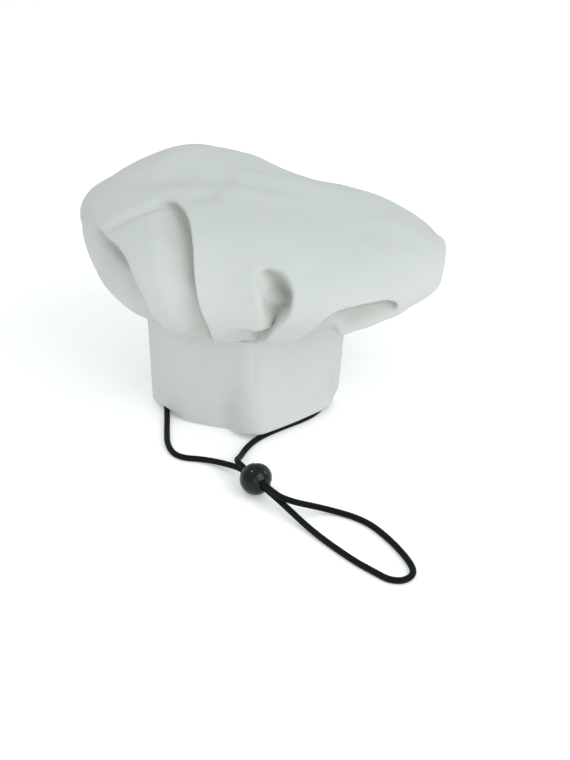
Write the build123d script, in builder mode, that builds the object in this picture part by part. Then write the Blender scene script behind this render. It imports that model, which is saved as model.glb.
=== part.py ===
"""Small chef toque with an elastic chin cord and a ball cord lock. Millimetres, +Z up.

The origin is the centre of the band's opening, on the plane that the rim stands on.
"""

import math
import os

from build123d import *

# ---- driving dimensions -------------------------------------------------------------------

# band, the upright ring that sits on the head
band_height = 54.0
band_left = 52.0
band_right = 51.5
band_back = 50.0
crease_x, crease_y = 4.7, -53.5
left_corner_y = -28.2
right_corner_y = -17.0
crease_radius = 6.0
left_radius = 37.0
back_left_radius = 48.0
back_right_radius = 44.5
right_radius = 45.0

# cloth layers of the band, from the outside in
cloth = 0.9
interfacing_thickness = 0.8
lining_thickness = 0.8
hem_height = 15.0
seam_allowance = 9.4
layer_gap = 0.2

# stitches
thread = 0.4
stitch_length = 2.6
hem_stitch_count = 80
hem_stitch_height = 13.2
seam_stitch_height = 49.5
back_stitch_pitch = 4.2

# crown
crown_cloth = 1.5
seam_ledge = 5.0
ledge_height = 2.0

# elastic cord
cord_diameter = 3.0
cord_z = cord_diameter / 2
rim_lift = 3.9
rim_lift_width = 30.0

# cord lock, a ball with a spring button across two bores
ball_radius = 7.75
lock_center = Vector(6.0, -105.8, ball_radius)
bore_heading = -57.0
button_roll = 24.0
strand_spacing = 3.3
bore_clearance = 0.3
button_travel = 2.2
mouth_height = 4.0
mouth_radius = 5.95
button_radius = 5.75
button_skirt = 0.6
button_side = 1.0
button_height = 4.2
stem_radius = 4.4
stem_foot = 1.1
pocket_radius = 4.6
pocket_floor = -5.3
seat_radius = 2.8
seat_floor = -6.5
spring_wire = 0.4
spring_radius = 2.3
spring_turns = 3

os.makedirs("parts", exist_ok=True)


# ---- band ---------------------------------------------------------------------------------

lining_inset = cloth + interfacing_thickness
flap_inset = lining_inset + lining_thickness
band_stack = flap_inset + cloth

band_corners = [
    (crease_x, crease_y),
    (band_right, right_corner_y),
    (band_right, band_back),
    (-band_left, band_back),
    (-band_left, left_corner_y),
]
band_radii = [crease_radius, right_radius, back_right_radius, back_left_radius, left_radius]


def band_face(inset):
    """The face inside the band's outline, moved inwards by inset."""
    with BuildSketch() as face:
        with BuildLine():
            FilletPolyline(*band_corners, radius=band_radii, close=True)
        make_face()
        if inset > 0:
            offset(amount=-inset)
    return face.sketch


def rim_lifts():
    """Low arches through the rim, one above each strand of the cord that passes under it."""
    arch_radius = ((rim_lift_width / 2) ** 2 + rim_lift**2) / (2 * rim_lift)
    for point, direction in ((left_crossing, (0.1, -1, 0)), (right_crossing, (0, -1, 0))):
        place = Plane(origin=(point[0], point[1], rim_lift - arch_radius), z_dir=direction)
        with Locations(place):
            Cylinder(radius=arch_radius, height=18, mode=Mode.SUBTRACT)


left_crossing = (-42.3, -26.5)
right_crossing = (38.5, -24.5)

with BuildPart() as band_shell:
    with BuildSketch():
        add(band_face(0))
        add(band_face(cloth), mode=Mode.SUBTRACT)
    extrude(amount=band_height)
    with BuildSketch():
        add(band_face(0))
        add(band_face(band_stack), mode=Mode.SUBTRACT)
    extrude(amount=cloth)
    with BuildSketch():
        add(band_face(flap_inset))
        add(band_face(band_stack), mode=Mode.SUBTRACT)
    extrude(amount=hem_height)
    rim_lifts()
band_shell.part.label = "band_shell"

with BuildPart() as band_interfacing:
    with BuildSketch(Plane.XY.offset(cloth)):
        add(band_face(cloth))
        add(band_face(lining_inset), mode=Mode.SUBTRACT)
    extrude(amount=band_height - seam_allowance - layer_gap - cloth)
    rim_lifts()
band_interfacing.part.label = "band_interfacing"

with BuildPart() as band_lining:
    with BuildSketch(Plane.XY.offset(cloth)):
        add(band_face(lining_inset))
        add(band_face(flap_inset), mode=Mode.SUBTRACT)
    extrude(amount=band_height - cloth)
    rim_lifts()
band_lining.part.label = "band_lining"


# ---- stitches -----------------------------------------------------------------------------


def staple(depth, inward):
    """One stitch: a bar along the seam and a leg at each end that runs through the cloth."""
    Box(thread, thread, stitch_length)
    with Locations(
        (inward * depth / 2, 0, stitch_length / 2 - thread / 2),
        (inward * depth / 2, 0, thread / 2 - stitch_length / 2),
    ):
        Box(depth, thread * 0.8, thread)


def outline_places(inset, height, count):
    """Places along the band's outline, each with Z along the seam and X across the cloth."""
    wire = band_face(inset).face().outer_wire()
    for i in range(count):
        at = (i + 0.5) / count
        point = wire.position_at(at) + Vector(0, 0, height)
        tangent = wire.tangent_at(at)
        yield Location(Plane(origin=point, x_dir=tangent.cross(Vector(0, 0, 1)), z_dir=tangent))


with BuildPart() as hem_stitching:
    with Locations(*outline_places(0, hem_stitch_height, hem_stitch_count)):
        staple(band_stack, -1)
hem_stitching.part.label = "hem_stitching"

with BuildPart() as seam_stitching:
    with Locations(*outline_places(flap_inset, seam_stitch_height, hem_stitch_count)):
        staple(flap_inset - cloth / 2, 1)
seam_stitching.part.label = "seam_stitching"

back_stitch_places = [
    Location(Plane(origin=(0, band_back, height), x_dir=(0, 1, 0), z_dir=(0, 0, 1)))
    for height in (18 + back_stitch_pitch * i for i in range(7))
]
with BuildPart() as back_seam_stitching:
    with Locations(*back_stitch_places):
        staple(flap_inset, -1)
back_seam_stitching.part.label = "back_seam_stitching"


# ---- crown --------------------------------------------------------------------------------

# Each ring of the floppy crown, from the band seam out, up and over the top:
# centre x, y, z, half width, half depth, droop to the right and droop to the back in degrees.
crown_rings = [
    (0, -1, 54.0, 49.5, 49.0, 0, 0),
    (1, 0, 57.5, 58.0, 57.0, 0, 0),
    (2, 1, 46.0, 66.0, 64.0, 1.0, 5.0),
    (5, 1, 51.0, 80.0, 77.0, 3.0, 6.0),
    (8, 1, 63.0, 89.0, 84.0, 4.5, 5.0),
    (9, 1, 80.0, 92.0, 87.0, 5.2, 4.0),
    (8, 2, 97.0, 91.0, 85.0, 6.0, 3.0),
    (4, 3, 110.0, 76.0, 74.0, 6.5, 2.0),
    (-2, 3, 119.0, 56.0, 56.0, 6.0, 0),
    (-6, 3, 124.5, 32.0, 34.0, 4.0, 0),
    (-8, 3, 126.5, 10.0, 11.0, 0, 0),
]


def ring_normal(ring, after):
    """Unit normal, towards the inside, of the crown's wall between two rings (width, height)."""
    step = Vector(after[3] - ring[3], after[2] - ring[2])
    return Vector(-step.Y, step.X).normalized()


def crown_volume(inset):
    """The space inside the crown's wall, moved inwards by inset."""
    normals = [ring_normal(*pair) for pair in zip(crown_rings, crown_rings[1:])]
    below = [normals[0]] + normals
    above = normals + [normals[-1]]
    with BuildPart() as volume:
        for ring, first, second in zip(crown_rings, below, above):
            x, y, z, half_width, half_depth, droop_right, droop_back = ring
            move = (first + second) * (inset / (1 + first.dot(second)))
            with BuildSketch(Plane(Location((x, y, z + move.Y), (-droop_back, droop_right, 0)))):
                Ellipse(half_width + move.X, half_depth + move.X)
        loft(ruled=True)
    return volume.part


crown_outside = crown_volume(0)
crown_inside = crown_volume(crown_cloth)

with BuildPart() as crown:
    add(crown_outside)
    with BuildSketch(Plane.XY.offset(band_height)):
        add(band_face(0))
    extrude(amount=ledge_height)
    add(crown_inside, mode=Mode.SUBTRACT)
    with BuildSketch(Plane.XY.offset(band_height - 1)):
        add(band_face(seam_ledge))
    extrude(amount=ledge_height + 4, mode=Mode.SUBTRACT)
    with BuildSketch(Plane.XY.offset(band_height - seam_allowance)):
        add(band_face(cloth))
        add(band_face(lining_inset), mode=Mode.SUBTRACT)
    extrude(amount=seam_allowance)
crown.part.label = "crown"


# ---- cord lock ----------------------------------------------------------------------------

heading = math.radians(bore_heading)
roll = math.radians(button_roll)
bore_direction = Vector(math.cos(heading), math.sin(heading), 0)
side = Vector(-math.sin(heading), math.cos(heading), 0)
press_direction = side * math.cos(roll) + Vector(0, 0, math.sin(roll))
# X runs along the bores, Y across the two strands and Z out through the button
lock_plane = Plane(origin=lock_center, x_dir=bore_direction, z_dir=press_direction)
bore_plane = Plane(origin=lock_center, x_dir=lock_plane.y_dir, z_dir=bore_direction)

bore_half = cord_diameter / 2 + bore_clearance
bore_width = strand_spacing + 2 * bore_half


def bore_face(raised):
    """The oblong bore that holds both strands, lengthened by raised towards the button."""
    with BuildSketch(bore_plane) as face:
        SlotCenterToCenter(strand_spacing, 2 * bore_half)
        if raised > 0:
            with Locations((0, raised)):
                SlotCenterToCenter(strand_spacing, 2 * bore_half)
            with Locations((0, raised / 2)):
                Rectangle(bore_width, raised)
    return face.sketch


lock_profile = Plane(origin=lock_center, x_dir=bore_direction, z_dir=-lock_plane.y_dir)
lock_axis = Axis(lock_center, press_direction)
mouth_edge = math.sqrt(ball_radius**2 - mouth_height**2)
mouth_angle = math.degrees(math.asin(mouth_height / ball_radius))
skirt_floor = mouth_height - button_travel - button_skirt - layer_gap

with BuildPart() as lock_barrel:
    with BuildSketch(lock_profile):
        with BuildLine():
            Polyline(
                (0, -ball_radius),
                (0, seat_floor),
                (seat_radius, seat_floor),
                (seat_radius, pocket_floor),
                (pocket_radius, pocket_floor),
                (pocket_radius, skirt_floor),
                (mouth_radius, skirt_floor),
                (mouth_radius, mouth_height),
                (mouth_edge, mouth_height),
            )
            CenterArc((0, 0), ball_radius, -90, 90 + mouth_angle)
        make_face()
    revolve(axis=lock_axis)
    extrude(bore_face(0), amount=ball_radius, both=True, mode=Mode.SUBTRACT)
lock_barrel.part.label = "lock_barrel"

foot = -bore_half - stem_foot
skirt = mouth_height - button_skirt
dome_rise = button_height - button_side
dome_radius = (button_radius**2 + dome_rise**2) / (2 * dome_rise)
dome_center = mouth_height + button_height - dome_radius
dome_half = math.asin(button_radius / dome_radius) / 2
with BuildPart() as lock_plunger:
    with BuildSketch(lock_profile):
        with BuildLine():
            Polyline(
                (0, mouth_height + button_height),
                (0, foot),
                (stem_radius, foot),
                (stem_radius, skirt),
                (button_radius, skirt),
                (button_radius, mouth_height + button_side),
            )
            ThreePointArc(
                (button_radius, mouth_height + button_side),
                (dome_radius * math.sin(dome_half), dome_center + dome_radius * math.cos(dome_half)),
                (0, mouth_height + button_height),
            )
        make_face()
    revolve(axis=lock_axis)
    extrude(bore_face(button_travel), amount=ball_radius, both=True, mode=Mode.SUBTRACT)
lock_plunger.part.label = "lock_plunger"

spring_low = seat_floor + spring_wire / 2 + layer_gap / 4
spring_height = foot - spring_wire / 2 - layer_gap / 4 - spring_low
with BuildPart() as lock_spring:
    with BuildLine():
        coil = Helix(
            pitch=spring_height / spring_turns,
            height=spring_height,
            radius=spring_radius,
            center=lock_center + press_direction * spring_low,
            direction=press_direction,
        )
    with BuildSketch(Plane(origin=coil @ 0, z_dir=coil % 0)):
        Circle(spring_wire / 2)
    sweep(path=coil, is_frenet=True)
lock_spring.part.label = "lock_spring"


# ---- elastic cord -------------------------------------------------------------------------

# the two strands run one above the other through the bores
strand_step = lock_plane.y_dir * (-strand_spacing / 2)
lower_strand = lock_center - strand_step
upper_strand = lock_center + strand_step

route = [
    # left end, sewn inside the band, and out under the rim
    (-45.8, 12.0, 11.4),
    (-46.5, 2.5, 7.6),
    (-45.7, -8.0, 3.4),
    (-43.0, -18.5, 1.7),
    (-41.8, -32.5, 1.5),
    (-40.8, -48.0, 1.5),
    (-38.8, -63.0, 1.5),
    (-31.5, -76.3, 1.5),
    (-19.5, -77.3, 1.5),
    # lower strand through the lock
    tuple(lower_strand - bore_direction * 18.6),
    tuple(lower_strand + bore_direction * 25.6),
    # loop
    (33.0, -142.0, 1.5),
    (51.0, -164.5, 1.5),
    (62.5, -175.8, 1.5),
    (69.0, -180.0, 1.5),
    (73.2, -177.3, 1.5),
    (74.3, -168.0, 1.5),
    (68.7, -149.0, 1.5),
    (57.2, -131.8, 1.5),
    (39.5, -122.6, 1.8),
    # upper strand through the lock
    tuple(upper_strand + bore_direction * 25.6),
    tuple(upper_strand - bore_direction * 18.0),
    # out beside the rim, under it and up to the right end, sewn inside the band
    (-1.5, -70.5, 1.8),
    (2.3, -59.5, 1.5),
    (17.5, -48.3, 1.5),
    (31.5, -38.6, 1.5),
    (38.3, -29.0, 1.5),
    (40.0, -17.0, 1.7),
    (44.5, -6.5, 3.8),
    (46.0, 3.0, 7.6),
    (45.6, 12.5, 11.4),
]


def arc_radii(points):
    """The largest arc at each corner that leaves a tenth of the shorter run straight."""
    for before, corner, after in zip(points, points[1:], points[2:]):
        run_in = Vector(corner) - Vector(before)
        run_out = Vector(after) - Vector(corner)
        turn = math.radians(run_in.get_angle(run_out))
        yield 0.45 * min(run_in.length, run_out.length) / math.tan(turn / 2)


cord_radii = list(arc_radii(route))
with BuildPart() as elastic_cord:
    with BuildLine():
        cord_line = FilletPolyline(*route, radius=cord_radii)
    with BuildSketch(Plane(origin=cord_line @ 0, z_dir=cord_line % 0)):
        Circle(cord_diameter / 2)
    sweep(path=cord_line)
elastic_cord.part.label = "elastic_cord"

cord_length = cord_line.length
section = math.pi * (cord_diameter / 2) ** 2
print("cord radii", [round(radius, 1) for radius in cord_radii])
print("cord length", round(cord_length, 1), "volume / (section x length)",
      round(elastic_cord.part.volume / (section * cord_length), 4))


# ---- bar tacks ----------------------------------------------------------------------------

tack_count = 5
tack_pitch = 0.8
tack_start = 0.9
tack_radius = cord_diameter / 2 + 0.4


def bar_tack(end, inner):
    """Loops of thread round the cord's end and through the cloth behind it."""
    direction = (Vector(inner) - Vector(end)).normalized()
    for i in range(tack_count):
        center = Vector(end) + direction * (tack_start + tack_pitch * i)
        with Locations(Plane(origin=center, z_dir=direction)):
            Torus(tack_radius, thread / 2)


with BuildPart() as bar_tack_left:
    bar_tack(route[0], route[1])
bar_tack_left.part.label = "bar_tack_left"

with BuildPart() as bar_tack_right:
    bar_tack(route[-1], route[-2])
bar_tack_right.part.label = "bar_tack_right"


for piece in (
    band_shell,
    band_interfacing,
    band_lining,
    hem_stitching,
    seam_stitching,
    back_seam_stitching,
    crown,
    lock_barrel,
    lock_plunger,
    lock_spring,
    elastic_cord,
    bar_tack_left,
    bar_tack_right,
):
    export_step(piece.part, f"parts/{piece.part.label}.step")
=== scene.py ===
"""Looks of the small chef toque: camera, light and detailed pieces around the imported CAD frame.

Metres and +Z up, in the CAD frame. Tables whose names end in _mm hold millimetres.
"""

import math

import bpy
import numpy as np
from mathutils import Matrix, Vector, noise


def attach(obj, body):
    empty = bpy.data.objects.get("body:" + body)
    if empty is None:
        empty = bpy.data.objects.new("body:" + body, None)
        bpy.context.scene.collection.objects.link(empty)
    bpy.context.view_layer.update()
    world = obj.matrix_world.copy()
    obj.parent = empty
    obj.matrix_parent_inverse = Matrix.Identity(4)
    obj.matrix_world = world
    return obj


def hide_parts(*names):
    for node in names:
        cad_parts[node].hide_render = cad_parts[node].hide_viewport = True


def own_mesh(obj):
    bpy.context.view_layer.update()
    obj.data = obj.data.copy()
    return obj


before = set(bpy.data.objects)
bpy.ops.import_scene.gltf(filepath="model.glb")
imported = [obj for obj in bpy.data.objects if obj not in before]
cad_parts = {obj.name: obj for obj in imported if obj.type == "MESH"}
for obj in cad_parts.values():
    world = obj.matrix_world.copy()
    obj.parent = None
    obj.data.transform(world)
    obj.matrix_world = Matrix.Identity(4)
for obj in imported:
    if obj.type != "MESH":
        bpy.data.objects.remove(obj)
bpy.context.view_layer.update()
mm = 0.001
collection = bpy.context.scene.collection


# ---- camera ----

view_tilt = math.radians(28.0)
view_distance = 0.8
view_target = Vector((0.020, 0.0, 0.005))
view_back = Vector((0, -math.cos(view_tilt), math.sin(view_tilt)))

camera_data = bpy.data.cameras.new("camera")
camera_data.lens = 70.0
camera_data.sensor_width = 36.0
camera = bpy.data.objects.new("camera", camera_data)
camera.location = view_target + view_distance * view_back
camera.rotation_euler = (math.pi / 2 - view_tilt, 0, 0)
collection.objects.link(camera)
bpy.context.scene.camera = camera
bpy.context.scene.view_settings.view_transform = "Standard"


# ---- helpers ----


def add_object(name, data):
    """A new object for a mesh or curve, in the scene."""
    made = bpy.data.objects.new(name, data)
    collection.objects.link(made)
    return made


def grid_faces(rows, columns, closed_rows, closed_columns):
    """Quads over a grid of rows x columns vertices, as an array of vertex numbers."""
    r = np.arange(rows if closed_rows else rows - 1)
    c = np.arange(columns if closed_columns else columns - 1)
    r, c = np.meshgrid(r, c, indexing="ij")
    next_r = (r + 1) % rows
    next_c = (c + 1) % columns
    quads = [r * columns + c, r * columns + next_c, next_r * columns + next_c, next_r * columns + c]
    return np.stack(quads, -1).reshape(-1, 4)


def end_caps(rings, sides):
    """The two end faces of a tube of rings x sides vertices."""
    last = (rings - 1) * sides
    return [list(range(sides - 1, -1, -1)), list(range(last, last + sides))]


def mesh_object(name, points, faces, material, uv=None):
    """A smooth mesh object. faces is a list; uv holds one pair per face corner, on a map named cloth."""
    mesh = bpy.data.meshes.new(name)
    mesh.from_pydata(points.reshape(-1, 3).tolist(), [], faces)
    mesh.polygons.foreach_set("use_smooth", np.ones(len(mesh.polygons), bool))
    if uv is not None:
        layer = mesh.uv_layers.new(name="cloth")
        layer.data.foreach_set("uv", uv.astype(np.float32).ravel())
    mesh.materials.append(material)
    mesh.update()
    return add_object(name, mesh)


def hermite(at, knots, values):
    """A smooth curve through values, one per knot, read at the positions in at."""
    index = np.clip(np.searchsorted(knots, at, side="right") - 1, 0, len(knots) - 2)
    width = knots[index + 1] - knots[index]
    share = (at - knots[index]) / width
    span = (knots[2:] - knots[:-2]).reshape((-1,) + (1,) * (values.ndim - 1))
    slope = np.empty_like(values)
    slope[1:-1] = (values[2:] - values[:-2]) / span
    slope[0] = (values[1] - values[0]) / (knots[1] - knots[0])
    slope[-1] = (values[-1] - values[-2]) / (knots[-1] - knots[-2])
    shape = share.shape + (1,) * (values.ndim - 1)
    s, w = share.reshape(shape), width.reshape(shape)
    return (
        (2 * s**3 - 3 * s**2 + 1) * values[index]
        + (s**3 - 2 * s**2 + s) * w * slope[index]
        + (3 * s**2 - 2 * s**3) * values[index + 1]
        + (s**3 - s**2) * w * slope[index + 1]
    )


def ease(value):
    """0 below 0, 1 above 1, and smooth between."""
    value = np.clip(value, 0, 1)
    return value * value * (3 - 2 * value)


def hill(value):
    """1 at 0, falling smoothly away on both sides."""
    return np.exp(-(value**2))


def roughened(points, normals, scale, height, seed):
    """Points moved along their normals by smooth noise of that scale and height."""
    flat = points.reshape(-1, 3)
    moves = np.array([noise.noise(Vector(p) / scale + Vector((seed, 0, 0))) for p in flat.tolist()])
    return points + normals * (moves * height).reshape(points.shape[:-1] + (1,))


# ---- elastic cord route ----

# lock axes, as in the CAD source: along the bores, and out through the button
lock_center = Vector((0.006, -0.1058, 0.00775))
bore_heading = math.radians(-57.0)
button_roll = math.radians(24.0)
bore_direction = Vector((math.cos(bore_heading), math.sin(bore_heading), 0))
side_direction = Vector((-math.sin(bore_heading), math.cos(bore_heading), 0))
press_direction = side_direction * math.cos(button_roll) + Vector((0, 0, math.sin(button_roll)))
across_bores = press_direction.cross(bore_direction)
strand_spacing = 0.0033
lower_strand = lock_center + across_bores * strand_spacing / 2
upper_strand = lock_center - across_bores * strand_spacing / 2
# outside the lock the upper strand lies a little higher and the lower one a little lower
strand_parting = Vector((0, 0, 0.0006))

cord_diameter = 0.003

# left end inside the band, under the rim, through the lock, round the loop and back to the right end
cord_route = [
    (-0.0458, 0.0120, 0.0114),
    (-0.0465, 0.0025, 0.0076),
    (-0.0457, -0.0080, 0.0034),
    (-0.0430, -0.0185, 0.0017),
    (-0.0416, -0.0325, 0.0015),
    (-0.0407, -0.0480, 0.0015),
    (-0.0394, -0.0640, 0.0015),
    (-0.0335, -0.0755, 0.0015),
    (-0.0190, -0.0773, 0.0015),
    lower_strand - bore_direction * 0.0186 - 2 * strand_parting,
    lower_strand - bore_direction * 0.0090,
    lower_strand + bore_direction * 0.0110,
    lower_strand + bore_direction * 0.0256 - strand_parting,
    (0.0330, -0.1420, 0.0015),
    (0.0500, -0.1640, 0.0015),
    (0.0595, -0.1733, 0.0015),
    (0.0655, -0.1791, 0.0015),
    (0.0723, -0.1796, 0.0015),
    (0.0770, -0.1738, 0.0015),
    (0.0750, -0.1640, 0.0015),
    (0.0678, -0.1480, 0.0015),
    (0.0572, -0.1318, 0.0015),
    (0.0395, -0.1226, 0.0018),
    upper_strand + bore_direction * 0.0256 + strand_parting,
    upper_strand + bore_direction * 0.0110,
    upper_strand - bore_direction * 0.0090,
    upper_strand - bore_direction * 0.0170 + strand_parting,
    (-0.0022, -0.0785, 0.0034),
    (0.0004, -0.0662, 0.0015),
    (0.0064, -0.0560, 0.0015),
    (0.0170, -0.0464, 0.0015),
    (0.0300, -0.0368, 0.0015),
    (0.0372, -0.0288, 0.0015),
    (0.0412, -0.0175, 0.0017),
    (0.0445, -0.0065, 0.0038),
    (0.0460, 0.0030, 0.0076),
    (0.0456, 0.0125, 0.0114),
]


def nurbs_line(name, points):
    """The smooth line of a route, as an array of points read from its NURBS spline."""
    curve = bpy.data.curves.new(name, "CURVE")
    curve.dimensions = "3D"
    curve.resolution_u = 24
    spline = curve.splines.new("NURBS")
    spline.points.add(len(points) - 1)
    for place, point in zip(spline.points, points):
        place.co = (*point, 1)
    spline.order_u = 3
    spline.use_endpoint_u = True
    holder = add_object(name, curve)
    bpy.context.view_layer.update()
    line_mesh = bpy.data.meshes.new_from_object(holder)
    line = np.array([v.co for v in line_mesh.vertices])
    bpy.data.objects.remove(holder)
    bpy.data.curves.remove(curve)
    bpy.data.meshes.remove(line_mesh)
    return line


def resampled(line, step):
    """The same line with points a step apart, and the distance along it at each."""
    along = np.r_[0, np.cumsum(np.linalg.norm(np.diff(line, axis=0), axis=1))]
    count = int(round(along[-1] / step)) + 1
    at = np.linspace(0, along[-1], count)
    return np.stack([np.interp(at, along, line[:, k]) for k in range(3)], 1), at


def line_frames(line):
    """Two unit directions across a line at each point, carried along it without twist."""
    tangent = np.gradient(line, axis=0)
    tangent /= np.linalg.norm(tangent, axis=1)[:, None]
    first = np.zeros_like(line)
    start = np.cross(tangent[0], (0.3, 0.1, 1.0))
    first[0] = start / np.linalg.norm(start)
    for i in range(1, len(line)):
        carried = first[i - 1] - tangent[i] * (first[i - 1] @ tangent[i])
        first[i] = carried / np.linalg.norm(carried)
    return first, np.cross(tangent, first)


def tube(line, radius, sides):
    """Rings of vertices round a line."""
    first, second = line_frames(line)
    turn = np.arange(sides) * 2 * math.pi / sides
    ring = first[:, None] * np.cos(turn)[None, :, None] + second[:, None] * np.sin(turn)[None, :, None]
    return line[:, None] + ring * radius


# ---- materials ----


class Shader:
    """A short way to build one material's node tree."""

    def __init__(self, name):
        self.material = bpy.data.materials.new(name)
        self.material.use_nodes = True
        self.tree = self.material.node_tree
        self.surface = self.tree.nodes["Principled BSDF"]

    def node(self, kind, inputs=None, **settings):
        made = self.tree.nodes.new(kind)
        for key, value in settings.items():
            setattr(made, key, value)
        for key, value in (inputs or {}).items():
            if isinstance(value, bpy.types.NodeSocket):
                self.tree.links.new(value, made.inputs[key])
            else:
                made.inputs[key].default_value = value
        return made

    def math(self, operation, a, b=0.0):
        return self.node("ShaderNodeMath", {0: a, 1: b}, operation=operation).outputs[0]

    def noise(self, vector, scale, detail=2.0):
        made = self.node("ShaderNodeTexNoise", {"Vector": vector, "Scale": scale, "Detail": detail})
        return made.outputs["Fac"]

    def mix(self, share, low, high):
        made = self.node("ShaderNodeMix", data_type="RGBA")
        for socket, value in ((0, share), (6, low), (7, high)):
            if isinstance(value, bpy.types.NodeSocket):
                self.tree.links.new(value, made.inputs[socket])
            else:
                made.inputs[socket].default_value = value
        return made.outputs[2]

    def remap(self, value, low, high):
        """value from 0..1 to low..high."""
        return self.math("ADD", self.math("MULTIPLY", value, high - low), low)

    def bump(self, height, distance):
        inputs = {"Height": height, "Distance": distance, "Strength": 1.0}
        return self.node("ShaderNodeBump", inputs).outputs[0]

    def link(self, value, socket):
        self.tree.links.new(value, self.surface.inputs[socket])


def ribbed_cotton(name, color, rib_pitch, rib_depth, crevice, shade_tone, open_share):
    """Ribbed cotton twill. The cloth map runs across the ribs in U and along them in V, in metres.

    Painted shade: folds and seams narrower than crevice are darkened towards the shade tone times the
    colour, from where more than open_share of the view out of them is shut off.
    """
    weft_pitch = 0.00042
    hem_clearance = 0.03
    s = Shader(name)
    cloth_map = s.node("ShaderNodeUVMap", uv_map="cloth").outputs[0]
    place = s.node("ShaderNodeTexCoord").outputs["Object"]
    wander = s.math("MULTIPLY", s.noise(place, 160.0), 0.35 * rib_pitch)
    axes = s.node("ShaderNodeSeparateXYZ", {0: cloth_map}).outputs
    across = s.math("ADD", axes[0], wander)
    wave = s.math("SINE", s.math("MULTIPLY", across, 2 * math.pi / rib_pitch))
    rib = s.math("POWER", s.remap(wave, 0.5, 1.0), 0.6)
    weft = s.math("SINE", s.math("MULTIPLY", axes[1], 2 * math.pi / weft_pitch))
    weft = s.remap(weft, 0.5, 1.0)
    fuzz = s.noise(place, 2600.0, 3.0)
    slub = s.noise(place, 420.0, 3.0)
    cloud = s.noise(place, 28.0, 4.0)
    grain = s.math("ADD", s.math("MULTIPLY", rib, 0.62), s.math("MULTIPLY", weft, 0.12))
    grain = s.math("ADD", grain, s.math("MULTIPLY", fuzz, 0.18))
    grain = s.math("ADD", grain, s.math("MULTIPLY", slub, 0.3))
    # painted shade: the grooves between the ribs are a tenth darker than the ribs
    groove = tuple(c * 0.90 for c in color) + (1,)
    loose_fibre = (0.74, 0.76, 0.75, 1)
    body = s.mix(rib, groove, tuple(color) + (1,))
    speck = s.mix(s.remap(fuzz, -0.15, 0.55), body, loose_fibre)
    tint = s.mix(s.remap(cloud, -0.1, 0.65), speck, tuple(c * 0.94 for c in color) + (1,))
    # painted shade: warmer and darker inside the folds and at the seam, where less light reaches, but not
    # where the hem meets the table
    painted_shade = s.node("ShaderNodeAmbientOcclusion", {"Distance": crevice}, samples=6).outputs["AO"]
    painted_shade = s.node("ShaderNodeMapRange", {0: painted_shade, 1: 1.0 - open_share, 2: 0.0}).outputs[0]
    up = s.node("ShaderNodeSeparateXYZ", {0: place}).outputs[2]
    painted_shade = s.math("MULTIPLY", painted_shade, s.math("GREATER_THAN", up, hem_clearance))
    shade_color = tuple(c * k for c, k in zip(color, shade_tone)) + (1,)
    s.link(s.mix(painted_shade, tint, shade_color), "Base Color")
    s.link(s.remap(slub, 0.8, 0.98), "Roughness")
    s.link(s.bump(grain, rib_depth), "Normal")
    s.surface.inputs["Sheen Weight"].default_value = 0.12
    s.surface.inputs["Sheen Roughness"].default_value = 0.45
    s.surface.inputs["Specular IOR Level"].default_value = 0.25
    return s.material


def plain_weave(name, color, pitch, depth):
    """Plain over-and-under weave, on the cloth map."""
    s = Shader(name)
    cloth_map = s.node("ShaderNodeUVMap", uv_map="cloth").outputs[0]
    place = s.node("ShaderNodeTexCoord").outputs["Object"]
    axes = s.node("ShaderNodeSeparateXYZ", {0: cloth_map}).outputs
    warp = s.math("SINE", s.math("MULTIPLY", axes[0], math.pi / pitch))
    weft = s.math("SINE", s.math("MULTIPLY", axes[1], math.pi / pitch))
    knot = s.remap(s.math("MULTIPLY", warp, weft), 0.5, 1.0)
    fuzz = s.noise(place, 1800.0, 3.0)
    height = s.math("ADD", s.math("MULTIPLY", knot, 0.7), s.math("MULTIPLY", fuzz, 0.4))
    # painted shade: the cloth is darker where the threads dip between their crossings
    dark = tuple(c * 0.88 for c in color) + (1,)
    s.link(s.mix(height, dark, tuple(color) + (1,)), "Base Color")
    s.link(s.remap(fuzz, 0.8, 0.98), "Roughness")
    s.link(s.bump(height, depth), "Normal")
    s.surface.inputs["Sheen Weight"].default_value = 0.1
    s.surface.inputs["Specular IOR Level"].default_value = 0.2
    return s.material


def braided_cord(name):
    """Black braided elastic. The cloth map counts strands round the cord in U and along it in V."""
    s = Shader(name)
    cloth_map = s.node("ShaderNodeUVMap", uv_map="cloth").outputs[0]
    place = s.node("ShaderNodeTexCoord").outputs["Object"]
    axes = s.node("ShaderNodeSeparateXYZ", {0: cloth_map}).outputs
    right = s.math("SINE", s.math("MULTIPLY", s.math("ADD", axes[0], axes[1]), math.pi))
    left = s.math("SINE", s.math("MULTIPLY", s.math("SUBTRACT", axes[0], axes[1]), math.pi))
    pick = s.math("ABSOLUTE", s.math("MULTIPLY", right, left))
    strand = s.math("POWER", pick, 0.5)
    fuzz = s.noise(place, 3200.0, 3.0)
    height = s.math("ADD", s.math("MULTIPLY", strand, 0.85), s.math("MULTIPLY", fuzz, 0.25))
    # painted shade: darker where the strands dip between the picks of the braid
    s.link(s.mix(height, (0.0015, 0.002, 0.0025, 1), (0.006, 0.008, 0.010, 1)), "Base Color")
    s.link(s.remap(fuzz, 0.55, 0.8), "Roughness")
    s.link(s.bump(height, 0.00022), "Normal")
    s.surface.inputs["Sheen Weight"].default_value = 0.01
    s.surface.inputs["Specular IOR Level"].default_value = 0.12
    return s.material


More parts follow.
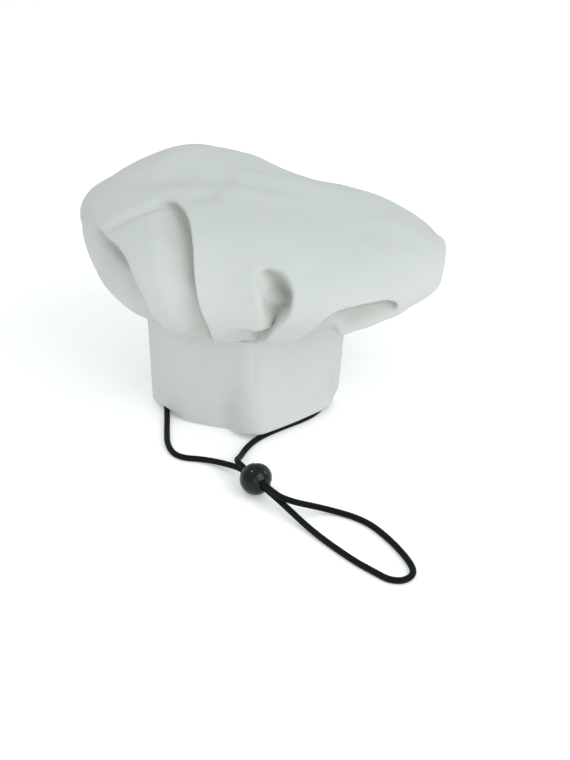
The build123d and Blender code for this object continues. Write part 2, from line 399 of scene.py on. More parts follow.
def sewing_thread(name, color, turn_pitch):
    """Twisted thread: fine ridges that run round it at a slant."""
    s = Shader(name)
    place = s.node("ShaderNodeTexCoord").outputs["Object"]
    axes = s.node("ShaderNodeSeparateXYZ", {0: place}).outputs
    slant = s.math("ADD", s.math("ADD", axes[0], axes[1]), s.math("MULTIPLY", axes[2], 1.7))
    twist = s.remap(s.math("SINE", s.math("MULTIPLY", slant, 2 * math.pi / turn_pitch)), 0.5, 1.0)
    fuzz = s.noise(place, 4000.0, 2.0)
    # painted shade: darker between the ridges of the twist
    dark = tuple(c * 0.8 for c in color) + (1,)
    s.link(s.mix(twist, dark, tuple(color) + (1,)), "Base Color")
    s.link(s.remap(fuzz, 0.5, 0.75), "Roughness")
    s.link(s.bump(twist, 0.00004), "Normal")
    return s.material


def moulded_plastic(name, color):
    """Glossy moulded plastic with faint flow marks and fine handling scuffs."""
    s = Shader(name)
    place = s.node("ShaderNodeTexCoord").outputs["Object"]
    flow = s.noise(place, 260.0, 2.0)
    scuff = s.noise(place, 1500.0, 4.0)
    tone = tuple(c * 1.5 for c in color) + (1,)
    s.link(s.mix(flow, tuple(color) + (1,), tone), "Base Color")
    s.link(s.remap(s.math("POWER", scuff, 2.0), 0.16, 0.36), "Roughness")
    s.link(s.bump(s.math("ADD", flow, s.math("MULTIPLY", scuff, 0.15)), 0.00012), "Normal")
    s.surface.inputs["Specular IOR Level"].default_value = 0.12
    s.surface.inputs["Coat Weight"].default_value = 0.35
    s.surface.inputs["Coat Roughness"].default_value = 0.04
    return s.material


def drawn_steel(name):
    """Bright spring wire with fine drawing lines."""
    s = Shader(name)
    place = s.node("ShaderNodeTexCoord").outputs["Object"]
    lines = s.noise(place, 3000.0, 2.0)
    s.link(s.mix(lines, (0.42, 0.43, 0.44, 1), (0.68, 0.69, 0.7, 1)), "Base Color")
    s.link(s.remap(lines, 0.22, 0.42), "Roughness")
    s.link(s.bump(lines, 0.00002), "Normal")
    s.surface.inputs["Metallic"].default_value = 1.0
    return s.material


band_white = (0.595, 0.605, 0.580)
crown_white = (0.577, 0.586, 0.562)
# both cloths get painted shade in their folds; on the band it draws a dark line of painted shadow under the
# crown's edge
crown_cotton = ribbed_cotton("crown_cotton", crown_white, 0.00115, 0.00012, 0.024, (0.74, 0.71, 0.66), 0.12)
band_cotton = ribbed_cotton("band_cotton", band_white, 0.00105, 0.00009, 0.008, (0.35, 0.33, 0.30), 0.38)
lining_cotton = plain_weave("lining_cotton", (0.60, 0.61, 0.58), 0.00045, 0.00008)
interfacing_fibre = plain_weave("interfacing_fibre", (0.82, 0.82, 0.80), 0.0007, 0.0001)
white_thread = sewing_thread("white_thread", (0.68, 0.70, 0.69), 0.0005)
black_thread = sewing_thread("black_thread", (0.02, 0.022, 0.025), 0.0006)
cord_braid = braided_cord("cord_braid")
lock_plastic = moulded_plastic("lock_plastic", (0.002, 0.0045, 0.003))
button_plastic = moulded_plastic("button_plastic", (0.008, 0.017, 0.011))
spring_steel = drawn_steel("spring_steel")


# ---- elastic cord ----

cord_line = nurbs_line("cord_route", cord_route)
cord_points, cord_along = resampled(cord_line, 0.0005)
cord_sides = 20
braid_strands = 8
braid_pick = 0.0009

cord_tube = tube(cord_points, cord_diameter / 2, cord_sides)
tube_faces = grid_faces(len(cord_points), cord_sides, False, True)
row, column = np.divmod(np.arange(len(tube_faces)), cord_sides)
around = np.stack([column, column + 1, column + 1, column], 1) / cord_sides * braid_strands
along = cord_along[np.stack([row, row, row + 1, row + 1], 1)] / braid_pick
caps = end_caps(len(cord_points), cord_sides)
cord_map = np.r_[np.stack([around, along], -1).reshape(-1, 2), np.zeros((2 * cord_sides, 2))]
cord = mesh_object("elastic_cord_braided", cord_tube, tube_faces.tolist() + caps, cord_braid, cord_map)
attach(cord, "hat")
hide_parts("elastic_cord")


# ---- band outline ----

# corners and corner radii of the band's outer face seen from above, from the front crease round
band_corners_mm = [(4.7, -53.5), (51.5, -17.0), (51.5, 50.0), (-52.0, 50.0), (-52.0, -28.2)]
band_radii_mm = [6.0, 45.0, 44.5, 48.0, 37.0]
band_height = 0.054
band_columns = 420


def rounded_outline(corners, radii, count):
    """Evenly spaced points and outward normals round a polygon with rounded corners."""
    dense = []
    for i, radius in enumerate(radii):
        corner = np.array(corners[i])
        before = np.array(corners[i - 1]) - corner
        after = np.array(corners[(i + 1) % len(corners)]) - corner
        before /= np.linalg.norm(before)
        after /= np.linalg.norm(after)
        half = math.acos(before @ after) / 2
        middle = before + after
        center = corner + middle / np.linalg.norm(middle) * radius / math.sin(half)
        start = corner + before * radius / math.tan(half) - center
        end = corner + after * radius / math.tan(half) - center
        angle = math.atan2(start[1], start[0])
        sweep = (math.atan2(end[1], end[0]) - angle + math.pi) % (2 * math.pi) - math.pi
        for share in np.linspace(0, 1, 60):
            turned = angle + sweep * share
            dense.append(center + radius * np.array([math.cos(turned), math.sin(turned)]))
    dense = np.array(dense + dense[:1])
    along = np.r_[0, np.cumsum(np.linalg.norm(np.diff(dense, axis=0), axis=1))]
    at = np.arange(count) / count * along[-1]
    points = np.stack([np.interp(at, along, dense[:, k]) for k in range(2)], 1)
    tangent = np.roll(points, -1, 0) - np.roll(points, 1, 0)
    tangent /= np.linalg.norm(tangent, axis=1)[:, None]
    return points, np.stack([tangent[:, 1], -tangent[:, 0]], 1), along[-1]


outline, outward, outline_length = rounded_outline(
    np.array(band_corners_mm) * mm, np.array(band_radii_mm) * mm, band_columns
)
outline_azimuth = np.arctan2(outline[:, 1], outline[:, 0])

# the rim lifts over the cord: place, half width and height of each low arch
rim_arches = [((-0.0423, -0.0265), 0.015, 0.0039), ((0.0385, -0.0245), 0.015, 0.0034)]

# along the front right the hem lies on the cord and flares out over it
cord_under_rim = np.array([(0.0060, -0.0525), (0.0370, -0.0283)])
rim_lift = 0.0032
rim_flare = 0.0054


def hem_on_cord():
    """How far the hem is raised and flared by the cord at each column, from 0 to 1."""
    start, end = cord_under_rim
    run = end - start
    share = np.clip((outline - start) @ run / (run @ run), 0, 1)
    away = np.linalg.norm(outline - start - share[:, None] * run, axis=1)
    return ease(1.3 - away / 0.016)


def rim_height():
    """How far the rim stands off the table at each column of the band."""
    height = rim_lift * hem_on_cord()
    for place, half_width, lift in rim_arches:
        away = np.linalg.norm(outline - place, axis=1)
        height = np.maximum(height, lift * (1 - (away / half_width) ** 2))
    return height


rim = rim_height()
flare = rim_flare * hem_on_cord()


def band_point(column, depth, height):
    """Points on the band, depth metres in from its outer face. Arrays of equal shape."""
    base = outline[column]
    normal = outward[column]
    share = height / band_height
    azimuth = np.degrees(outline_azimuth[column])
    # slightly wider at the top, and gently uneven all round
    swell = 0.0006 * (share - 0.5)
    swell = swell + 0.00035 * np.sin(np.radians(azimuth) * 5 + 1.1 + share * 1.3)
    # grooves low down left of the front corner, high up above it, and high up right of it
    swell = swell - 0.0013 * hill((azimuth + 102.0) / 7.0) * ease(1.3 - share * 1.3)
    swell = swell - 0.0016 * hill((azimuth + 85.0) / 4.0) * ease(share * 1.3)
    swell = swell - 0.0006 * hill((azimuth + 66.0) / 9.0) * ease(share * 1.6)
    # the right side leans outwards, and the hem flares over the cord
    swell = swell + (0.0036 * share - 0.0024) * hill((azimuth + 2.0) / 34.0)
    swell = swell + flare[column] * hill(height / 0.016)
    placed = base + normal * (swell - depth)[..., None]
    return np.concatenate([placed, height[..., None]], -1)


def band_ring(name, section, material):
    """A closed ring round the band from a section: pairs of depth and height, in metres.

    Heights near the table follow the rim where it lifts over the cord.
    """
    section = np.array(section)
    columns = np.arange(band_columns)
    column = np.broadcast_to(columns[:, None], (band_columns, len(section)))
    depth = np.broadcast_to(section[:, 0], column.shape)
    height = np.broadcast_to(section[:, 1], column.shape)
    height = height + rim[column] * ease(1.2 - height / 0.012)
    points = band_point(column, depth, height)
    faces = grid_faces(band_columns, len(section), True, True)
    run = np.r_[0, np.cumsum(np.linalg.norm(np.diff(np.r_[section, section[:1]], axis=0), axis=1))]
    rows, cells = np.divmod(np.arange(len(faces)), len(section))
    across = run[np.stack([cells, cells + 1, cells + 1, cells], 1)]
    along = np.stack([rows, rows, rows + 1, rows + 1], 1) / band_columns * outline_length
    return mesh_object(name, points, faces.tolist(), material, np.stack([across, along], -1))


def walk(corners, step):
    """A closed section through the corners with points at most a step apart."""
    made = []
    for start, end in zip(corners, corners[1:] + corners[:1]):
        start, end = np.array(start), np.array(end)
        count = max(1, int(math.ceil(np.linalg.norm(end - start) / step)))
        made += [tuple(start + (end - start) * k / count) for k in range(count)]
    return made


# ---- band pieces ----

cloth = 0.0009
interfacing = 0.0008
lining = 0.0008
hem_height = 0.015
stack = cloth + interfacing + lining + cloth
flap = cloth + interfacing + lining

# the outer cloth: wall, rounded fold at the rim, and the hem turned up inside
shell_section = walk(
    [
        (0.0001, band_height - 0.0004),
        (0.0, band_height - 0.0012),
        (0.0, 0.0012),
        (0.0003, 0.0004),
        (0.0012, 0.0),
        (stack - 0.0012, 0.0),
        (stack - 0.0003, 0.0004),
        (stack, 0.0012),
        (stack, hem_height - 0.0005),
        (stack - 0.0004, hem_height),
        (flap + 0.0002, hem_height),
        (flap, hem_height - 0.0004),
        (flap, 0.0012),
        (flap - 0.0003, cloth),
        (cloth + 0.0003, cloth),
        (cloth, 0.0012),
        (cloth, band_height - 0.0006),
        (cloth - 0.0002, band_height),
        (0.0004, band_height),
    ],
    0.0018,
)
band_outer = band_ring("band_outer", shell_section, band_cotton)
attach(band_outer, "hat")
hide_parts("band_shell")

lining_section = walk(
    [
        (cloth + interfacing, 0.0012),
        (flap, 0.0012),
        (flap, band_height - 0.0004),
        (flap - 0.0004, band_height),
        (cloth + interfacing, band_height),
    ],
    0.003,
)
band_inner = band_ring("band_inner_lining", lining_section, lining_cotton)
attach(band_inner, "hat")
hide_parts("band_lining")

stiffener_top = 0.0444
stiffener_section = walk(
    [
        (cloth + 0.0001, 0.0012),
        (cloth + interfacing, 0.0012),
        (cloth + interfacing, stiffener_top),
        (cloth + 0.0001, stiffener_top),
    ],
    0.003,
)
band_stiffener = band_ring("band_stiffener", stiffener_section, interfacing_fibre)
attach(band_stiffener, "hat")
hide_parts("band_interfacing")


# ---- stitching ----


# one stitch: share of its length, and rise out of the cloth in thread radii
stitch_shape = [
    (-0.02, -1.6), (0.03, -0.5), (0.14, 0.35), (0.5, 0.55), (0.86, 0.35), (0.97, -0.5), (1.02, -1.6),
]
stitch_rings = len(stitch_shape)
stitch_sides = 6
thread_radius = 0.00018


def stitch_loop(start, end, outside, sink):
    """Vertices of one stitch: a thread that rises out of the cloth, runs along it and dives back."""
    run = end - start
    path = []
    for along, rise in stitch_shape:
        path.append(start + run * along + outside * (rise * thread_radius - sink))
    across = np.cross(run, outside)
    across /= np.linalg.norm(across)
    turns = np.arange(stitch_sides) * 2 * math.pi / stitch_sides
    circle = np.cos(turns)[:, None] * across + np.sin(turns)[:, None] * outside
    return np.array(path)[:, None] + circle[None] * thread_radius


def stitches(name, loops, material):
    """One mesh of many stitch threads."""
    step = stitch_rings * stitch_sides
    one = grid_faces(stitch_rings, stitch_sides, False, True).tolist() + end_caps(stitch_rings, stitch_sides)
    faces = [[corner + i * step for corner in face] for i in range(len(loops)) for face in one]
    return mesh_object(name, np.array(loops), faces, material)


row_stitch_count = 96
row_stitch_length = 0.0026
row_stitch_sink = 0.0001
hem_stitch_height = 0.0132
seam_stitch_height = 0.0495


def stitch_row(depth, height, sign):
    """Stitches round the band at a depth and height. sign is 1 for the outer face, -1 for the inner."""
    loops = []
    half = row_stitch_length / outline_length * band_columns / 2
    for i in range(row_stitch_count):
        at = (i + 0.5) / row_stitch_count * band_columns
        ends = np.array([at - half, at + half])
        low = np.floor(ends).astype(int) % band_columns
        high = (low + 1) % band_columns
        share = (ends % 1)[:, None]
        flat = np.full(2, float(depth)), np.full(2, float(height))
        spots = band_point(low, *flat) * (1 - share) + band_point(high, *flat) * share
        outside = np.append(outward[int(at) % band_columns], 0) * sign
        loops.append(stitch_loop(spots[0], spots[1], outside, row_stitch_sink))
    return loops


hem_loops = stitch_row(0.0, hem_stitch_height, 1) + stitch_row(stack, hem_stitch_height, -1)
hem_stitches = stitches("hem_stitches", hem_loops, white_thread)
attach(hem_stitches, "hat")
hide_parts("hem_stitching")

seam_stitches = stitches("seam_stitches", stitch_row(flap, seam_stitch_height, -1), white_thread)
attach(seam_stitches, "hat")
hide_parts("seam_stitching")

back_column = int(np.argmin(np.abs(outline[:, 0]) + (outline[:, 1] < 0)))
back_stitch_count = 7
back_stitch_first = 0.0167
back_stitch_pitch = 0.0042
back_stitch_length = 0.0028
back_stitch_sink = 0.00006
back_outside = np.append(outward[back_column], 0)
back_loops = []
for i in range(back_stitch_count):
    foot = back_stitch_first + back_stitch_pitch * i
    ends = band_point(np.full(2, back_column), np.zeros(2), np.array([foot, foot + back_stitch_length]))
    back_loops.append(stitch_loop(ends[0], ends[1], back_outside, back_stitch_sink))
back_stitches = stitches("back_seam_stitches", back_loops, white_thread)
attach(back_stitches, "hat")
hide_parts("back_seam_stitching")


# ---- crown: smooth shape ----

# distance from the axis and height of the crown's outside, from the band seam out, up and over,
# for each direction in degrees (0 is right, -90 is front)
crown_profiles_mm = {
    0: [(57, 52), (61, 49), (72, 51), (89, 58), (100, 67), (102, 84), (89, 96), (55, 112)],
    45: [(58, 51), (66, 46), (79, 48), (91, 57), (96, 68), (92, 80), (78, 92), (48, 109)],
    90: [(55, 51), (62, 46), (76, 48), (86, 60), (88, 78), (84, 93), (68, 107), (40, 120)],
    135: [(58, 52), (64, 48), (74, 54), (82, 68), (87, 86), (86, 101), (70, 112), (42, 127)],
    180: [(56, 50.5), (61, 50), (68.5, 58), (77, 73), (83, 88), (84.5, 103), (76, 111.5), (46, 119.5)],
    -135: [(55.5, 54), (60.5, 58), (69.5, 66), (79, 78), (84, 90), (82, 100), (70, 110), (42, 118)],
    -90: [(56.5, 56), (62.5, 60), (73.5, 66), (82, 76), (85, 88), (80, 100), (64, 111), (38, 118)],
    -45: [(57, 55), (65, 58), (78, 62), (89, 70), (95, 80), (92, 91), (78, 102), (48, 113)],
}
crown_top_mm = (-4.0, 2.0, 124.0)
crown_columns = 600
crown_rows = 132
seam_depth = 0.0013
# the eight points of a profile, with the seam before them and the top after
ring_points = 10

# the same directions again on both sides, so that the smooth curve through them closes
profile_turns = list(range(-315, 316, 45))
profile_azimuths = np.radians(np.array(profile_turns, float))
profile_values = np.array([crown_profiles_mm[180 - (180 - a) % 360] for a in profile_turns]) * mm
outline_turn = np.unwrap(outline_azimuth)
outline_radius = np.linalg.norm(outline, axis=1)


def seam_radius(azimuth):
    """Distance of the band's outer face from the axis in each direction."""
    wrapped = (azimuth - outline_turn[0]) % (2 * math.pi) + outline_turn[0]
    turns = np.r_[outline_turn, outline_turn[0] + 2 * math.pi]
    return np.interp(wrapped, turns, np.r_[outline_radius, outline_radius[0]])


def crown_rings(azimuth):
    """The ten profile points of the crown in each direction."""
    wrapped = (azimuth + math.pi) % (2 * math.pi) - math.pi
    values = hermite(wrapped, profile_azimuths, profile_values)
    aim = np.stack([np.cos(azimuth), np.sin(azimuth)], -1)
    points = np.zeros(azimuth.shape + (ring_points, 3))
    points[..., 0, :2] = aim * (seam_radius(azimuth) - seam_depth)[..., None]
    points[..., 0, 2] = band_height
    points[..., 1:-1, :2] = aim[..., None, :] * values[..., 0][..., None]
    points[..., 1:-1, 2] = values[..., 1]
    points[..., -1, :] = np.array(crown_top_mm) * mm
    return points


rings = crown_rings(np.arange(72) / 72 * 2 * math.pi)
ring_steps = np.linalg.norm(np.diff(rings, axis=1), axis=2).mean(0)
ring_knots = np.r_[0, np.cumsum(ring_steps)] / ring_steps.sum()
meridian_length = ring_steps.sum()


def crown_base(azimuth, rise):
    """Points of the smooth crown: rise is 0 at the band seam and 1 at the top."""
    rings = crown_rings(azimuth)
    flat = rings.reshape(-1, ring_points, 3)
    rises = np.broadcast_to(rise, azimuth.shape).ravel()
    out = np.empty((len(flat), 3))
    for value in np.unique(rises):
        rows = rises == value
        out[rows] = hermite(np.array([value]), ring_knots, flat[rows].transpose(1, 0, 2))[0]
    return out.reshape(azimuth.shape + (3,))


azimuths = (np.arange(crown_columns) / crown_columns * 2 - 1) * math.pi
rises = np.linspace(0, 1, crown_rows) ** 1.12
smooth = hermite(rises, ring_knots, crown_rings(azimuths).transpose(1, 0, 2))
along_rise = np.gradient(smooth, axis=0)
along_turn = (np.roll(smooth, -1, 1) - np.roll(smooth, 1, 1)) / 2
normals = np.cross(along_turn, along_rise)
normals[-1] = (0, 0, 1)
normals /= np.maximum(np.linalg.norm(normals, axis=2), 1e-12)[..., None]


# ---- crown: folds ----

# Each fold is a line on the crown where one layer laps over another:
# path: (direction in degrees, rise, depth in mm of the lower layer) along the line
# over: a point (direction, rise) on the side of the upper layer
# reach: how far in mm the lower layer takes to come back up; fade: how early it does, from 1
# lap: how far in mm the lower layer slides under the upper one
crown_folds = [
    # right side of the front-left panel, under the wide front panel
    dict(
        path=[
            (-152, 0.70, 0), (-146, 0.708, 3), (-139, 0.70, 6), (-130, 0.677, 8),
            (-121, 0.622, 9.5), (-114.3, 0.545, 9.5), (-110.8, 0.48, 9), (-108.7, 0.43, 8.5),
            (-107.4, 0.377, 8), (-106, 0.307, 8.5), (-104.2, 0.231, 9.5), (-104.4, 0.15, 8.5),
            (-107, 0.08, 6), (-110, 0.01, 2),
        ],
        over=(-95, 0.45), reach=18, lap=5, fade=1.5,
    ),
    # left edge of the front-left panel
    dict(
        path=[
            (-161, 0.472, 0), (-157, 0.468, 3), (-152, 0.462, 8), (-147, 0.456, 10),
            (-141, 0.452, 11), (-134, 0.422, 12), (-130, 0.382, 13), (-126, 0.312, 14),
            (-126, 0.221, 12), (-129, 0.14, 8), (-133, 0.065, 4), (-135, 0.01, 1),
        ],
        over=(-118, 0.30), reach=28, lap=5, fade=1,
    ),
    # pocket right of the wide front panel
    dict(
        path=[
            (-86, 0.01, 0.6), (-85.7, 0.05, 3), (-84.8, 0.11, 6.5), (-82.6, 0.2, 10),
            (-80.4, 0.27, 12), (-78.2, 0.31, 13), (-76.6, 0.345, 14), (-75.6, 0.38, 14.5),
            (-75.3, 0.41, 14.5), (-75.7, 0.437, 14), (-77, 0.456, 11), (-79.3, 0.466, 7),
            (-82, 0.467, 3), (-84.5, 0.46, 0),
        ],
        over=(-62, 0.40), reach=25, lap=4, fade=1.8,
    ),
    # crease across the wide front panel
    dict(
        path=[
            (-96, 0.345, 0), (-93.5, 0.352, 1.2), (-91.5, 0.36, 1.6), (-89.5, 0.372, 1.6),
            (-87.5, 0.383, 1.2), (-86, 0.392, 0),
        ],
        over=(-91, 0.42), reach=6, lap=1, fade=2,
    ),
    # lower edge of the large right panel
    dict(
        path=[
            (-74, 0.08, 1), (-71, 0.13, 5), (-68.9, 0.18, 8), (-68, 0.211, 9.5),
            (-66.8, 0.25, 10.5), (-65.5, 0.285, 11), (-64, 0.312, 11), (-62, 0.332, 12),
            (-57, 0.347, 16), (-53, 0.352, 17), (-48, 0.357, 17), (-44, 0.352, 14), (-41, 0.337, 8),
            (-39.5, 0.31, 0),
        ],
        over=(-55, 0.45), reach=27, lap=6, fade=1,
    ),
    # small lap under the right corner
    dict(
        path=[
            (-27, 0.285, 0), (-24, 0.296, 2), (-19, 0.307, 4), (-16, 0.322, 4), (-12, 0.337, 2),
            (-9, 0.345, 0),
        ],
        over=(-16, 0.42), reach=12, lap=2, fade=2,
    ),
    # sides and back
    dict(
        path=[
            (-11, 0.01, 2), (-9, 0.10, 5), (-6, 0.18, 8), (-3, 0.24, 8), (-1, 0.28, 5),
            (1, 0.32, 0),
        ],
        over=(14, 0.25), reach=20, lap=4, fade=1.5,
    ),
    dict(
        path=[
            (20, 0.01, 2), (21, 0.12, 6), (24, 0.24, 11), (28, 0.35, 12), (30, 0.44, 10),
            (26, 0.50, 6), (20, 0.52, 0),
        ],
        over=(42, 0.3), reach=18, lap=5, fade=1.5,
    ),
    dict(
        path=[
            (50, 0.01, 2), (52, 0.12, 6), (51, 0.22, 10), (49, 0.31, 11), (46, 0.37, 7),
            (43, 0.41, 0),
        ],
        over=(66, 0.25), reach=15, lap=4, fade=1.5,
    ),
    dict(
        path=[
            (82, 0.01, 2), (80, 0.12, 6), (79, 0.24, 12), (77, 0.36, 14), (78, 0.47, 12),
            (83, 0.54, 8), (91, 0.57, 4), (98, 0.56, 0),
        ],
        over=(62, 0.35), reach=18, lap=5, fade=1.5,
    ),
    dict(
        path=[
            (108, 0.01, 2), (109, 0.12, 6), (112, 0.23, 11), (114, 0.33, 11), (113, 0.40, 7),
            (110, 0.45, 0),
        ],
        over=(96, 0.25), reach=15, lap=4, fade=1.5,
    ),
    dict(
        path=[
            (139, 0.01, 2), (137, 0.12, 6), (135, 0.24, 12), (136, 0.37, 14), (140, 0.46, 11),
            (147, 0.51, 6), (156, 0.51, 0),
        ],
        over=(120, 0.3), reach=18, lap=5, fade=1.5,
    ),
    dict(
        path=[
            (170, 0.01, 2), (172, 0.12, 5), (175, 0.22, 9), (178, 0.31, 10), (181, 0.38, 6),
            (184, 0.43, 0),
        ],
        over=(156, 0.2), reach=16, lap=4, fade=1.5,
    ),
]
fold_edge = 0.0022  # half width of the turn between the two layers
fold_blend = 0.0016  # over this distance directions along the path are blended
fold_end = 0.003  # a fold dies out over this distance past its ends
fold_roll = 0.06  # how proud the upper layer's edge stands, as a share of the depth
full_lap_depth = 0.005  # from this depth on the lower layer slides under in full


def on_crown(azimuth_degrees, rise):
    """One point of the smooth crown."""
    return crown_base(np.array([math.radians(azimuth_degrees)]), np.array([rise]))[0]


def surface_normal(azimuth_degrees, rise):
    """Outward normal of the smooth crown at one place."""
    here = on_crown(azimuth_degrees, rise)
    turned = on_crown(azimuth_degrees + 1, rise) - here
    risen = on_crown(azimuth_degrees, rise + 0.01) - here
    normal = np.cross(turned, risen)
    return normal / np.linalg.norm(normal)


def smooth_path(path, count):
    """A fold's path with evenly spread points between the ones given."""
    path = np.array(path, float)
    knots = np.arange(len(path)).astype(float)
    return hermite(np.linspace(0, len(path) - 1, count), knots, path)


def folded(points, fold):
    """How far each point moves for one fold: inwards along the normal, and sideways."""
    path = smooth_path(fold["path"], 64)
    places = np.array([on_crown(a, r) for a, r, d in path])
    outsides = np.array([surface_normal(a, r) for a, r, d in path])
    run = np.gradient(places, axis=0)
    run /= np.linalg.norm(run, axis=1)[:, None]
    aside = np.cross(outsides, run)
    over = on_crown(*fold["over"])
    nearest = np.argmin(np.linalg.norm(places - over, axis=1))
    if (over - places[nearest]) @ aside[nearest] < 0:
        aside = -aside
    reach = fold["reach"] * mm
    lap = fold["lap"] * mm
    sink = np.zeros(len(points))
    slide = np.zeros((len(points), 3))
    # only the points that the fold can reach, with a margin for the coarse distance
    margin = 0.012
    coarse = np.min([np.linalg.norm(points - place, axis=1) for place in places[::4]], axis=0)
    near = np.where(coarse < reach + margin)[0]
    local = points[near]
    gap = np.linalg.norm(local[:, None] - places[None], axis=2)
    closest = gap.min(1)
    weight = np.exp(-(gap - closest[:, None]) / fold_blend)
    weight /= weight.sum(1)[:, None]
    depth = weight @ path[:, 2] * mm
    direction = weight @ aside
    direction /= np.maximum(np.linalg.norm(direction, axis=1), 1e-9)[:, None]
    offset = np.einsum("nk,nkj->nj", weight, local[:, None] - places[None])
    side = np.einsum("nj,nj->n", offset, direction)
    signed = np.where(side >= 0, closest, -closest)
    signed = np.where(np.abs(side) < fold_edge, side, signed)
    past_start = np.maximum(0, -(local - places[0]) @ run[0])
    past_end = np.maximum(0, (local - places[-1]) @ run[-1])
    near_start = gap[:, 0] < gap[:, -1]
    past = np.where(near_start, past_start, past_end)
    depth = depth * hill(past / fold_end)
    fall = (1 - np.clip(-signed / reach, 0, 1) ** (2 / fold["fade"])) ** (0.6 + fold["fade"])
    lower = 1 - ease((signed + fold_edge) / (2 * fold_edge))
    sink[near] = depth * lower * fall
    across = signed / fold_edge
    sink[near] -= depth * fold_roll * hill((across - 1.6) / 2.6) * (across > -1)
    strength = np.clip(depth / full_lap_depth, 0, 1)
    tuck = lap * strength * hill((across + 0.9) / 1.25)
    slide[near] = direction * tuck[:, None]
    return sink, slide


rise_grid = np.repeat(rises, crown_columns)
azimuth_grid = np.tile(azimuths, crown_rows)
crown_points = smooth.reshape(-1, 3)
crown_normals = normals.reshape(-1, 3)
total_sink = np.zeros(len(crown_points))
total_slide = np.zeros_like(crown_points)
for fold in crown_folds:
    sink, slide = folded(crown_points, fold)
    total_sink += sink
    total_slide += slide

# soft swells, ridges and dents: (direction, rise, height in mm, radius in mm)
crown_swells = [
    (-124, 0.80, -1.0, 5.0),
    (-133, 0.765, -0.8, 4.0),
    (-98, 0.42, -6.0, 26.0),
    (-55, 0.42, 2.0, 20.0),
    (-3, 0.452, 1.8, 5.0),
    (-13, 0.355, 1.2, 7.0),
    (60, 0.78, -2.0, 26.0),
    (110, 0.80, -1.5, 18.0),
]
for azimuth_degrees, rise, height, radius in crown_swells:
    place = on_crown(azimuth_degrees, rise)
    away = np.linalg.norm(crown_points - place, axis=1) / (radius * mm)
    total_sink -= height * mm * hill(away)

# soft ridges, and grooves where the height is negative: (direction, rise, height in mm) along the
# line, and its half width in mm
soft_lines = [
    # ridge across the top, and the shallow trough behind it
    ([(-184, 0.47, 0.3), (-176, 0.583, 0.9), (-172, 0.658, 1.2), (-159, 0.754, 1.4), (-142, 0.829, 1.4),
      (-92, 0.854, 1.2), (-55, 0.84, 0.8), (-30, 0.80, 0.2)], 6.0),
    ([(-180, 0.56, -0.4), (-176, 0.70, -0.9), (-165, 0.83, -1.1), (-120, 0.93, -1.1), (-60, 0.91, -0.8),
      (-30, 0.86, -0.2)], 8.0),
    # groove along the top of the front-left panel
    ([(-156, 0.455, 0), (-151, 0.50, -0.9), (-150, 0.56, -1.5), (-149.5, 0.613, -1.9), (-149, 0.653, -2.1),
      (-148, 0.69, -2.0), (-144, 0.708, -1.0), (-139, 0.70, 0)], 3.6),
]
for path, width in soft_lines:
    line = smooth_path(path, 48)
    places = np.array([on_crown(a, r) for a, r, h in line])
    gap = np.linalg.norm(crown_points[:, None] - places[None], axis=2)
    total_sink -= line[gap.argmin(1), 2] * mm * hill(gap.min(1) / (width * mm))

# fine puckers where the cloth is gathered into the band
gathers = np.sin(52 * azimuth_grid + 2.5 * np.sin(5 * azimuth_grid) + 1.5 * np.sin(13 * azimuth_grid))
gather_height = 0.0004
total_sink += gather_height * gathers * hill(rise_grid / 0.07)

crown_points = crown_points - crown_normals * total_sink[:, None] + total_slide
crown_points = roughened(crown_points, crown_normals, scale=0.045, height=0.0022, seed=3.0)
crown_points = roughened(crown_points, crown_normals, scale=0.016, height=0.0007, seed=11.0)

# clear of the band's wall where the cloth hangs beside it
wall_clearance = 0.001
low = (crown_points[:, 2] < band_height + 0.003) & (rise_grid > 0.004)
reach_out = np.linalg.norm(crown_points[:, :2], axis=1)
aim = np.arctan2(crown_points[:, 1], crown_points[:, 0])
clear = seam_radius(aim) + wall_clearance
push = np.where(low & (reach_out < clear), clear / np.maximum(reach_out, 1e-6), 1.0)
crown_points[:, :2] *= push[:, None]

# rows that run down between the layers of the band, as the seam allowance
tuck_rows = 5
tuck_drop = np.linspace(0.0094, 0.0014, tuck_rows)
turned = (azimuths - outline_turn[0]) % (2 * math.pi)
tuck_columns = np.searchsorted(outline_turn - outline_turn[0], turned) % band_columns
each = np.ones(crown_columns)
tuck = [band_point(tuck_columns, seam_depth * each, (band_height - drop) * each) for drop in tuck_drop]
crown_all = np.concatenate([np.concatenate(tuck), crown_points]).reshape(-1, crown_columns, 3)

# flat pattern of the cloth: a circle; its ribs run one way, but the other way on the part that the
# large right panel turns under
flat_radius = 0.175
rib_direction = math.radians(47.0)
under_direction = math.radians(-54.0)
under_from = -67
under_to = -41
under_rise = 0.33

crown_faces = grid_faces(len(crown_all), crown_columns, False, True)
face_row, face_column = np.divmod(np.arange(len(crown_faces)), crown_columns)
corner_row = np.stack([face_row, face_row, face_row + 1, face_row + 1], 1)
corner_column = np.stack([face_column, face_column + 1, face_column + 1, face_column], 1)
corner_turn = azimuths[0] + corner_column / crown_columns * 2 * math.pi
tuck_rise = -tuck_drop / meridian_length
all_rises = np.r_[tuck_rise, rises]
corner_radius = (1 - all_rises[corner_row]) * flat_radius
face_turn = np.degrees(corner_turn[:, :1])
face_rise = all_rises[face_row][:, None]
turned_under = (face_turn > under_from) & (face_turn < under_to) & (face_rise < under_rise)
heading = np.where(turned_under, under_direction, rib_direction)
across = corner_radius * np.sin(corner_turn - heading)
along = corner_radius * np.cos(corner_turn - heading)
crown_map = np.stack([across, along], -1)
crown = mesh_object("crown_cloth", crown_all, crown_faces.tolist(), crown_cotton, crown_map)
thickness = crown.modifiers.new("thickness", "SOLIDIFY")
thickness.thickness = cloth
thickness.offset = -1.0
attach(crown, "hat")
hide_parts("crown")


# ---- cord lock ----


def dress(node, material):
    """Gives a CAD node its material."""
    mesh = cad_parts[node].data
    mesh.materials.clear()
    mesh.materials.append(material)


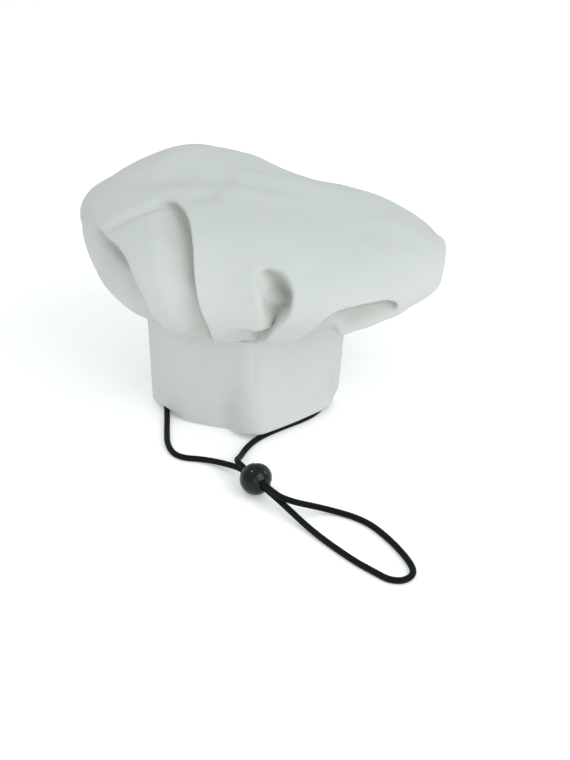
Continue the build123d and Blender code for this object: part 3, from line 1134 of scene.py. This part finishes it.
dress("lock_barrel", lock_plastic)
dress("lock_plunger", button_plastic)
dress("bar_tack_left", black_thread)
dress("bar_tack_right", black_thread)

# the coil spring under the button, drawn at one length; in the real lock it is pressed flatter as the button
# goes in
spring_low = 0.0066
spring_high = 0.0030
spring_turns = 3.6
spring_radius = 0.0023
wire_radius = 0.0002
wire_sides = 10
spring_steps = 220
turned = np.linspace(0, spring_turns * 2 * math.pi, spring_steps)
dead_ends = np.clip((turned - math.pi) / (turned[-1] - 2 * math.pi), 0, 1)
drop = -spring_low + wire_radius + (spring_low - spring_high - 2 * wire_radius) * dead_ends
center, right, forward, out = map(np.array, (lock_center, bore_direction, across_bores, press_direction))
helix = (
    center
    + out * drop[:, None]
    + right * (spring_radius * np.cos(turned))[:, None]
    + forward * (spring_radius * np.sin(turned))[:, None]
)
wire_faces = grid_faces(spring_steps, wire_sides, False, True).tolist()
spring = mesh_object("lock_coil_spring", tube(helix, wire_radius, wire_sides), wire_faces, spring_steel)
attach(spring, "cord_lock")
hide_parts("lock_spring")
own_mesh(spring)


# ---- floor and light ----

floor_mesh = bpy.data.meshes.new("floor")
floor_half = 4.0
floor_corners = [(-1, -1), (1, -1), (1, 1), (-1, 1)]
floor_mesh.from_pydata([(x * floor_half, y * floor_half, 0) for x, y in floor_corners], [], [(0, 1, 2, 3)])
floor = add_object("floor", floor_mesh)
s = Shader("floor_paper")
s.surface.inputs["Base Color"].default_value = (0.93, 0.93, 0.93, 1)
s.surface.inputs["Roughness"].default_value = 0.9
s.surface.inputs["Specular IOR Level"].default_value = 0.1
s.surface.inputs["Emission Color"].default_value = (1.0, 0.93, 0.94, 1)
s.surface.inputs["Emission Strength"].default_value = 0.24
floor_mesh.materials.append(s.material)

world = bpy.data.worlds.new("studio")
world.use_nodes = True
world.node_tree.nodes["Background"].inputs["Color"].default_value = (0.93, 1.0, 1.0, 1)
world.node_tree.nodes["Background"].inputs["Strength"].default_value = 0.73
bpy.context.scene.world = world


def soft_light(name, place, size, power, aim=(0, 0, 0.06)):
    """A square soft box at a place, turned to the hat."""
    lamp = bpy.data.lights.new(name, "AREA")
    lamp.size = size
    lamp.energy = power
    lamp.color = (0.95, 1.0, 1.0)
    made = add_object(name, lamp)
    made.location = place
    made.rotation_euler = (Vector(place) - Vector(aim)).to_track_quat("Z", "Y").to_euler()
    return made


soft_light("key", (1.2, -1.2, 1.3), 1.6, 18.0)
soft_light("front", (-0.1, -1.9, 0.6), 1.0, 3.0)
soft_light("top", (-0.55, -0.05, 1.4), 0.20, 1.6)
